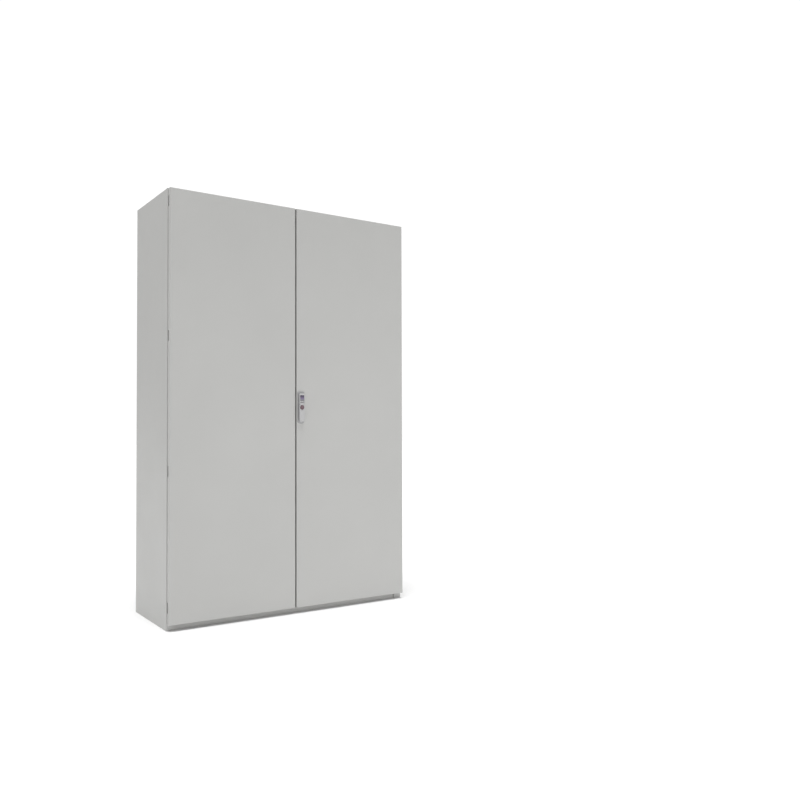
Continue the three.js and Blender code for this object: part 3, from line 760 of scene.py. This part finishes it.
def door_hardware(side):
    """Screws in the hinges and in the lock case, and the door's earth stud."""
    sign = -1 if side == "left" else 1
    door = f"{side}_door"
    foot_screws, leaf_screws = [], []
    for n, height in enumerate(HINGES, 1):
        foot = outwards(side, f"{side}_hinge_bracket_{n}")[0]
        leaf = outwards(side, f"{side}_hinge_leaf_{n}")[0]
        foot_y = BODY_FRONT - 4 * MM
        foot_screws += [(sign * (foot.x + 5.5 * MM), foot_y, height + dz * MM) for dz in (-12, 12)]
        leaf_y = leaf.y + 2.2 * MM
        leaf_screws += [(sign * (leaf.x + 5 * MM), leaf_y, height + dz * MM) for dz in (-25, 25)]
    small = {"radius": 3.0 * MM, "height": 1.9 * MM}
    screws(f"{side}_bracket_screws", foot_screws, (0, -1, 0), "body", **small)
    screws(f"{side}_leaf_screws", leaf_screws, (0, 1, 0), door, **small)
    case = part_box(f"{side}_lock_case")
    lock = middle_of(f"{side}_pinion")
    case_screws = [(lock.x, case[1].y, lock.z + dz * MM) for dz in (-22, 22)]
    screws(f"{side}_case_screws", case_screws, (0, 1, 0), door, radius=3.4 * MM, height=2.0 * MM)
    stud_at = (sign * (DOOR_SIDE - 85 * MM), FRONT + SHEET, 0.125)
    earth_stud(f"{side}_door_earth_stud", stud_at, (0, 1, 0), door)


def earth_stud(name, at, out, body):
    """A threaded stud with a washer and a nut."""
    at, out = Vector(at), Vector(out)

    def ring(radius, level, corners=0):
        return ring_about(at, out, radius, level, corners)

    washer = [ring(8 * MM, 0.1 * MM), ring(8 * MM, 1.4 * MM), ring(7.7 * MM, 1.7 * MM)]
    nut = [
        ring(6.0 * MM, 1.6 * MM, 6),
        ring(6.5 * MM, 2.1 * MM, 6),
        ring(6.5 * MM, 7.6 * MM, 6),
        ring(6.0 * MM, 8.1 * MM, 6),
    ]
    thread = [ring(3.9 * MM, 0.0)]
    for turn in range(11):
        level = (8.0 + turn) * MM
        thread += [ring(3.9 * MM, level), ring(3.5 * MM, level + 0.5 * MM)]
    thread += [ring(3.9 * MM, 19 * MM), ring(3.2 * MM, 19.8 * MM)]
    shells(name, PLATED, body, [washer, nut, thread], edge=0.08 * MM)


# ------------------------------------------------------------------ handle set

# How far in a casting's outline lies, in mm, at shares of the way from its back to its front.
CAST_SIDES = ((2.6, 0.0), (2.1, 0.08), (0.5, 0.52), (0.0, 0.72), (0.25, 0.88), (0.8, 0.97), (1.5, 1.0))
# How far in the base's outline lies, and how far from its back, in mm: its face is slightly sunk.
BASE_SIDES = ((0.0, 0.0), (0.0, 1.9), (0.35, 2.6), (0.9, 2.9), (1.5, 3.0), (2.0, 2.8), (2.5, 2.3))


def handle_base():
    low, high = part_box("handle_bezel")
    rings = []
    for inset, level in BASE_SIDES:
        by = inset * MM
        x, z = (low.x + by, high.x - by), (low.z + by, high.z - by)
        outline = rounded_outline(x, z, 8 * MM - by, 11 * MM - by)
        rings.append(standing(outline, high.y - level * MM))
    shells("handle_base_moulding", BASE_GREY_AND_PAINTED_SHADE, "right_door", [rings], ["handle_bezel"], edge=0.1 * MM)


def barrel(x, sides_x, centre, radius, end_z):
    """A knuckle about the grip's pin: round on one side of it, straight up or down to end_z on the other."""
    away = 1 if end_z > centre.z else -1
    rings = []
    for inset, share in sides_x:
        size = radius - inset * MM
        at = x[0] + (x[1] - x[0]) * share
        arc = [math.pi * (1 + k / 12) for k in range(13)]
        points = [(centre.y + size * math.cos(a), centre.z + away * size * math.sin(a)) for a in arc]
        points += [(centre.y + size, end_z), (centre.y - size, end_z)]
        rings.append([Vector((at, y, z)) for y, z in points])
    return rings


def handle_castings():
    head_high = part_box("handle_head")[1]
    grip_low, grip_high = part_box("handle_grip")
    pin = middle_of("handle_pin")
    label_low, label_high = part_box("handle_label")
    button = middle_of("lock_button")
    x = (grip_low.x, grip_high.x)
    front, back = grip_low.y, grip_high.y
    radius = (back - front) / 2
    fill = (10, 30)

    def sides(outline):
        return [
            standing(outline(inset * MM), back + (front - back) * share) for inset, share in CAST_SIDES
        ]

    head_foot = pin.z + 5.2 * MM

    def head_outline(by):
        across = (x[0] + by, x[1] - by)
        return rounded_outline(across, (head_foot, head_high.z - by), 5.5 * MM, 0.6 * MM, fill)

    pocket_x = (label_low.x - 0.3 * MM, label_high.x + 0.3 * MM)
    pocket_z = (label_low.z - 0.3 * MM, label_high.z + 0.3 * MM)
    pocket = rounded_outline(pocket_x, pocket_z, 1.2 * MM, 1.2 * MM, fill)
    head = sides(head_outline) + [standing(pocket, front), standing(pocket, front + 1 * MM)]
    ear = 4 * MM
    ear_sides = ((0.5, 0.0), (0.0, 0.12), (0.0, 0.95), (0.2, 1.0))
    ears = [
        barrel((x[0] + 0.3 * MM, x[0] + ear), ear_sides, pin, radius, head_foot + 0.6 * MM),
        barrel((x[1] - 0.3 * MM, x[1] - ear), ear_sides, pin, radius, head_foot + 0.6 * MM),
    ]
    spindle = middle_of("right_pinion")
    square = 3.5 * MM
    bar_x, bar_z = ((at - square, at + square) for at in (spindle.x, spindle.z))
    bar = rounded_outline(bar_x, bar_z, 0.5 * MM, 0.5 * MM)
    shaft = [standing(bar, back - 0.5 * MM), standing(bar, head_high.y)]
    solids = [head, *ears, shaft]
    shells("handle_head_casting", HANDLE_PAINT, "handle", solids, ["handle_head"], edge=0.2 * MM)

    shoulder = pin.z - 5 * MM

    def grip_outline(by):
        across = (x[0] + by, x[1] - by)
        return rounded_outline(across, (grip_low.z + by, shoulder), 0.6 * MM, 8.5 * MM, fill)

    recess = rounded_outline(
        (x[0] + 4 * MM, x[1] - 4 * MM), (grip_low.z + 4 * MM, 0.894), 2 * MM, 5 * MM, fill
    )
    centre = Vector((button.x, button.z))
    rim = grip_outline(CAST_SIDES[-1][0] * MM)
    well = [
        standing(circle_towards(rim, centre, size * MM), front + depth * MM)
        for size, depth in ((11.3, 0.0), (10.8, 0.2), (10.4, 0.8), (10.3, 1.6), (10.3, 8.2))
    ]
    grip = [standing(recess, front + 4.2 * MM), standing(recess, back)] + sides(grip_outline) + well
    tongue_x = (x[0] + ear + 0.4 * MM, x[1] - ear - 0.4 * MM)
    tongue_sides = ((0.3, 0.0), (0.0, 0.03), (0.0, 0.97), (0.3, 1.0))
    tongue = barrel(tongue_x, tongue_sides, pin, radius, shoulder - 0.6 * MM)
    shells("handle_grip_casting", HANDLE_PAINT, "grip", [grip, tongue], ["handle_grip"], edge=0.2 * MM)

    plate = []
    for inset, level in ((0.0, 0.0), (0.0, 0.3), (0.15, 0.42), (0.35, 0.46)):
        by = inset * MM
        outline = rounded_outline(
            (label_low.x + by, label_high.x - by), (label_low.z + by, label_high.z - by), 1 * MM, 1 * MM
        )
        plate.append(standing(outline, label_high.y - level * MM))
    shells("handle_label_plate", LABEL, "handle", [plate], ["handle_label"], edge=0.05 * MM)


def button_cap():
    """Round push button with a raised rim and a shallow dished middle."""
    count = 40
    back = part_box("lock_button")[1].y
    centre = middle_of("lock_button")
    profile = (  # radius, and distance from the back, in mm
        (9.4, 0.0),
        (9.8, 0.5),
        (9.8, 5.0),
        (9.5, 5.6),
        (8.9, 5.93),
        (8.2, 6.0),
        (7.6, 5.85),
        (7.0, 5.5),
        (6.2, 5.38),
        (3.0, 5.25),
    )
    rings = []
    for radius, level in profile:
        angles = [2 * math.pi * k / count for k in range(count)]
        outline = [
            (centre.x + radius * MM * math.cos(a), centre.z + radius * MM * math.sin(a)) for a in angles
        ]
        rings.append(standing(outline, back - level * MM))
    shells("push_button", RED, "button", [rings], ["lock_button"], edge=0.08 * MM)


for side in ("left", "right"):
    side_wall(side)
    door_panel(side)
    door_frame(side)
    door_gasket(side)
    door_hardware(side)
    for place in ("front", "rear"):
        punched_rail(side, place)
roof()
gland_plate_screws()
plate_bolts()
rear_screws()
stud_at = (0.35, middle_of("gland_plate_rear").y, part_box("gland_plate_rear")[1].z)
earth_stud("body_earth_stud", stud_at, (0, 0, 1), "body")
handle_base()
handle_castings()
button_cap()

# ------------------------------------------------------------------ carried-over CAD nodes

# For each material, the nodes that keep their CAD shape and how far their edges are rounded, in mm.
KEPT = {
    GREY: (["base_frame", "rear_panel", "centre_strip"], 0.5),
    SPANGLE: (["mounting_plate", "gland_plate_front", "gland_plate_middle", "gland_plate_rear"], 0.4),
    FOAM: (["rear_gasket"], 0.3),
    PLATED: (["handle_pin", "left_lever"], 0.5),
}
for side in ("left", "right"):
    KEPT[SPANGLE][0].extend(f"{side}_{part}" for part in ("slide_rail", "plate_bracket"))
    KEPT[PLATED][0].extend(
        f"{side}_{part}"
        for part in ("top_keeper", "bottom_keeper", "lock_case", "pinion", "upper_rod", "lower_rod")
    )
    KEPT[PLATED][0].extend(f"{side}_hinge_{part}_{n}" for part in ("bracket", "leaf") for n in (1, 2, 3, 4))

for material, (names, width) in KEPT.items():
    for name in names:
        obj = frame["nodes"][name]
        obj.data.materials.clear()
        obj.data.materials.append(material)
        weld = obj.modifiers.new("weld", "WELD")
        weld.merge_threshold = 1e-6
        soften(obj, width * MM)

# ------------------------------------------------------------------ stage, light and camera


def floor():
    half = 30.0
    bm = bmesh.new()
    bmesh.ops.create_grid(bm, x_segments=4, y_segments=4, size=half)
    mesh = bpy.data.meshes.new("floor")
    bm.to_mesh(mesh)
    bm.free()
    mesh.materials.append(FLOOR)
    obj = bpy.data.objects.new("floor", mesh)
    obj.location.z = -0.0002
    bpy.context.scene.collection.objects.link(obj)


def area_light(name, at, aim, size, power):
    data = bpy.data.lights.new(name, "AREA")
    data.shape = "RECTANGLE"
    data.size, data.size_y = size
    data.energy = power
    obj = bpy.data.objects.new(name, data)
    obj.location = at
    obj.rotation_euler = (Vector(aim) - Vector(at)).to_track_quat("-Z", "Y").to_euler()
    bpy.context.scene.collection.objects.link(obj)


def world(light, backdrop):
    """Even white surroundings: light for the surfaces, and a brighter backdrop behind the floor's edge."""
    new = bpy.data.worlds.new("studio")
    new.use_nodes = True
    tree = new.node_tree
    even = tree.nodes["Background"]
    even.inputs["Strength"].default_value = light
    behind = tree.nodes.new("ShaderNodeBackground")
    for background in (even, behind):
        background.inputs["Color"].default_value = (1.0, 1.0, 1.0, 1.0)
    behind.inputs["Strength"].default_value = backdrop
    path = tree.nodes.new("ShaderNodeLightPath")
    mix = tree.nodes.new("ShaderNodeMixShader")
    tree.links.new(path.outputs["Is Camera Ray"], mix.inputs["Fac"])
    tree.links.new(even.outputs["Background"], mix.inputs[1])
    tree.links.new(behind.outputs["Background"], mix.inputs[2])
    tree.links.new(mix.outputs["Shader"], tree.nodes["World Output"].inputs["Surface"])
    bpy.context.scene.world = new


def overhead(power, lean, spread):
    """A very soft sun: light from above that travels (x, y) across for each unit down."""
    data = bpy.data.lights.new("overhead", "SUN")
    data.energy = power
    data.angle = math.radians(spread)
    obj = bpy.data.objects.new("overhead", data)
    obj.rotation_euler = Vector((lean[0], lean[1], -1.0)).to_track_quat("-Z", "Y").to_euler()
    bpy.context.scene.collection.objects.link(obj)


def camera():
    """Seen from in front and to the left, a little below half the cabinet's height."""
    data = bpy.data.cameras.new("camera")
    data.sensor_width = 36.0
    data.lens = 33.616
    data.shift_x = 0.1375
    data.shift_y = 0.015
    data.clip_end = 200.0
    obj = bpy.data.objects.new("camera", data)
    obj.location = (-1.7068, -3.0414, 0.8268)
    obj.rotation_euler = (math.radians(91.112), 0.0, math.radians(-30.492))
    bpy.context.scene.collection.objects.link(obj)
    bpy.context.scene.camera = obj


floor()
world(light=0.40, backdrop=1.05)
overhead(power=2.7, lean=(0.07, 0.12), spread=30.0)
area_light("front_right", at=(1.7, -3.6, 0.8), aim=(-0.1, -0.2, 0.8), size=(2.4, 1.8), power=18.0)
area_light("rear_left", at=(-3.6, 1.6, 1.6), aim=(-0.6, 0.0, 0.9), size=(1.6, 2.4), power=10.0)
bpy.context.scene.view_settings.view_transform = "Standard"
camera()
